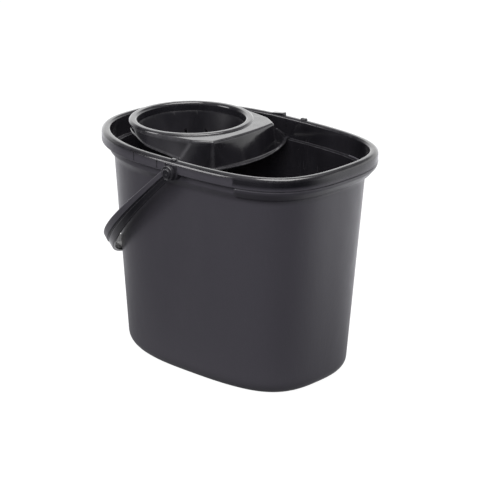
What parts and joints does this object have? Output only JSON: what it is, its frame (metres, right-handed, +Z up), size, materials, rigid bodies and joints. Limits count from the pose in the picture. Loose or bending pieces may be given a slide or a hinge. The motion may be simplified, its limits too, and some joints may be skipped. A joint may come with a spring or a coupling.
{
  "type": "mop bucket with wringer",
  "caption": "Oval plastic bucket with a rolled rim, a drop-in wringer funnel at one end and a swinging bail that hangs around that end.",
  "frame": {"origin": "centre of the flat pad in the middle of the bucket's underside, on the floor plane", "axes": "+Z up; +X along the long side, away from the wringer end; +Y across, towards the side with the rim's stop block"},
  "size_m": [0.36, 0.257, 0.296],
  "materials": {
    "body_plastic": "satin near-black moulded polypropylene, finely textured",
    "gloss_plastic_bail": "glossy black moulded polypropylene",
    "gloss_plastic_wringer": "glossy black moulded polypropylene"
  },
  "bodies": {
    "bucket": {"bucket_body": "body_plastic"},
    "bail": {"bail_handle": "gloss_plastic_bail"},
    "wringer": {"wringer_insert": "gloss_plastic_wringer"}
  },
  "joints": [
    {"name": "bail_swing", "type": "hinge", "parent": "bucket", "child": "bail", "pos_m": [0.012, 0, 0.27], "axis": [0, 1, 0], "range_deg": [0, 260]},
    {"name": "wringer_lift", "type": "slide", "parent": "bucket", "child": "wringer", "axis": [0, 0, 1], "range_m": [0, 0.11]}
  ]
}
